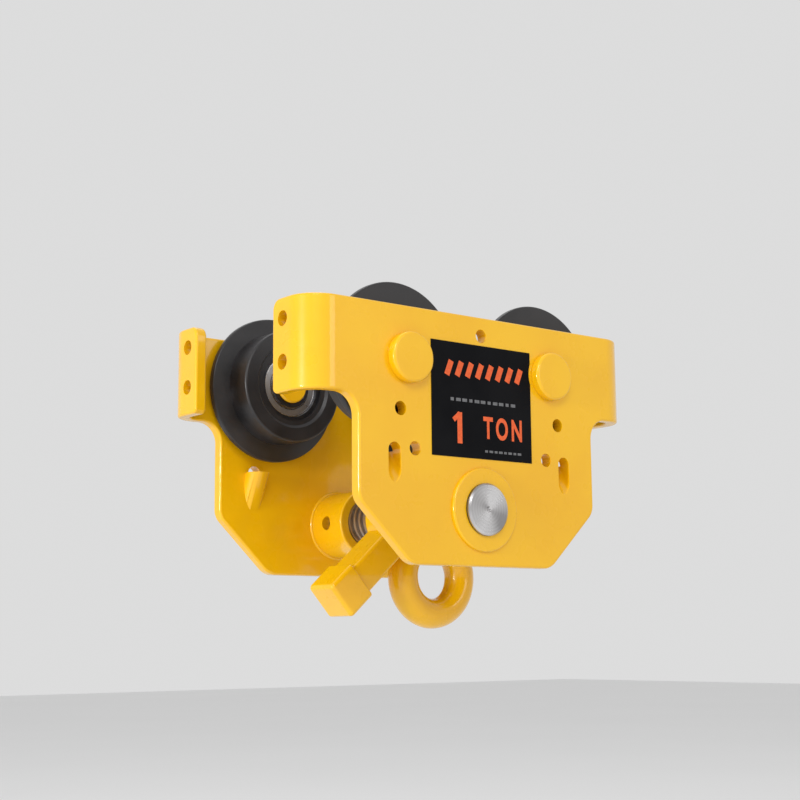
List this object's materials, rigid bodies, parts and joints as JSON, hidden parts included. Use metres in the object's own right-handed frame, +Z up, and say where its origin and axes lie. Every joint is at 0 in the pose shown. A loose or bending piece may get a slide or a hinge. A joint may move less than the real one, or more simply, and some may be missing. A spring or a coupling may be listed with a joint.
{
  "type": "beam trolley",
  "caption": "Push trolley for an I-beam: two bent side plates on flanged wheels, set to the flange width by a screw spindle with a lever and a load eye.",
  "frame": {"origin": "midway between the side plates and midway between the wheels, at the height of the flange surface that the wheels roll on", "axes": "+X along the beam, +Y from the front plate to the rear plate, +Z up"},
  "size_m": [0.295, 0.1932, 0.2337],
  "materials": {
    "yellow_paint": "glossy warm yellow enamel",
    "wheel_black": "satin black",
    "machined_steel": "turned",
    "bearing_steel": "ground",
    "bearing_shield": "pressed sheet",
    "cage_brass": "pressed",
    "spring_steel": "oil black",
    "label_black": "matt film"
  },
  "bodies": {
    "spindle": {"spindle": "machined_steel"},
    "hub": {"hub": "yellow_paint", "load_eye": "yellow_paint", "lever_bar": "yellow_paint", "lever_head": "yellow_paint"},
    "front_plate": {"side_plate_front": "yellow_paint", "bush_front": "yellow_paint", "axle_front_left": "yellow_paint", "spacer_front_left": "machined_steel", "bearing_inner_front_left": "bearing_steel", "axle_circlip_front_left": "spring_steel", "axle_front_right": "yellow_paint", "spacer_front_right": "machined_steel", "bearing_inner_front_right": "bearing_steel", "axle_circlip_front_right": "spring_steel", "rating_label": "label_black"},
    "wheel_front_left": {"wheel_front_left": "wheel_black", "bearing_outer_front_left": "bearing_steel", "bearing_balls_front_left": "bearing_steel", "bearing_cage_front_left": "cage_brass", "bearing_shields_front_left": "bearing_shield", "bore_circlip_front_left": "spring_steel"},
    "wheel_front_right": {"wheel_front_right": "wheel_black", "bearing_outer_front_right": "bearing_steel", "bearing_balls_front_right": "bearing_steel", "bearing_cage_front_right": "cage_brass", "bearing_shields_front_right": "bearing_shield", "bore_circlip_front_right": "spring_steel"},
    "rear_plate": {"side_plate_rear": "yellow_paint", "bush_rear": "yellow_paint", "axle_rear_left": "yellow_paint", "spacer_rear_left": "machined_steel", "bearing_inner_rear_left": "bearing_steel", "axle_circlip_rear_left": "spring_steel", "axle_rear_right": "yellow_paint", "spacer_rear_right": "machined_steel", "bearing_inner_rear_right": "bearing_steel", "axle_circlip_rear_right": "spring_steel"},
    "wheel_rear_left": {"wheel_rear_left": "wheel_black", "bearing_outer_rear_left": "bearing_steel", "bearing_balls_rear_left": "bearing_steel", "bearing_cage_rear_left": "cage_brass", "bearing_shields_rear_left": "bearing_shield", "bore_circlip_rear_left": "spring_steel"},
    "wheel_rear_right": {"wheel_rear_right": "wheel_black", "bearing_outer_rear_right": "bearing_steel", "bearing_balls_rear_right": "bearing_steel", "bearing_cage_rear_right": "cage_brass", "bearing_shields_rear_right": "bearing_shield", "bore_circlip_rear_right": "spring_steel"}
  },
  "joints": [
    {"name": "hub_turn", "type": "hinge", "parent": "spindle", "child": "hub", "pos_m": [0, 0, -0.0574], "axis": [0, 1, 0], "range_deg": [0, 1620]},
    {"name": "front_plate_slide", "type": "slide", "parent": "spindle", "child": "front_plate", "axis": [0, 1, 0], "range_m": [0, 0.0271]},
    {"name": "wheel_front_left_spin", "type": "hinge", "parent": "front_plate", "child": "wheel_front_left", "pos_m": [-0.065, -0.08125, 0.042], "axis": [0, 1, 0], "continuous": true},
    {"name": "wheel_front_right_spin", "type": "hinge", "parent": "front_plate", "child": "wheel_front_right", "pos_m": [0.065, -0.08125, 0.042], "axis": [0, 1, 0], "continuous": true},
    {"name": "rear_plate_slide", "type": "slide", "parent": "spindle", "child": "rear_plate", "axis": [0, -1, 0], "range_m": [0, 0.0271]},
    {"name": "wheel_rear_left_spin", "type": "hinge", "parent": "rear_plate", "child": "wheel_rear_left", "pos_m": [-0.065, 0.08125, 0.042], "axis": [0, 1, 0], "continuous": true},
    {"name": "wheel_rear_right_spin", "type": "hinge", "parent": "rear_plate", "child": "wheel_rear_right", "pos_m": [0.065, 0.08125, 0.042], "axis": [0, 1, 0], "continuous": true}
  ],
  "couplings": [
    {"joint": "front_plate_slide", "follows": "hub_turn", "m_per_rad": 0.00095492},
    {"joint": "rear_plate_slide", "follows": "hub_turn", "m_per_rad": 0.00095492}
  ]
}
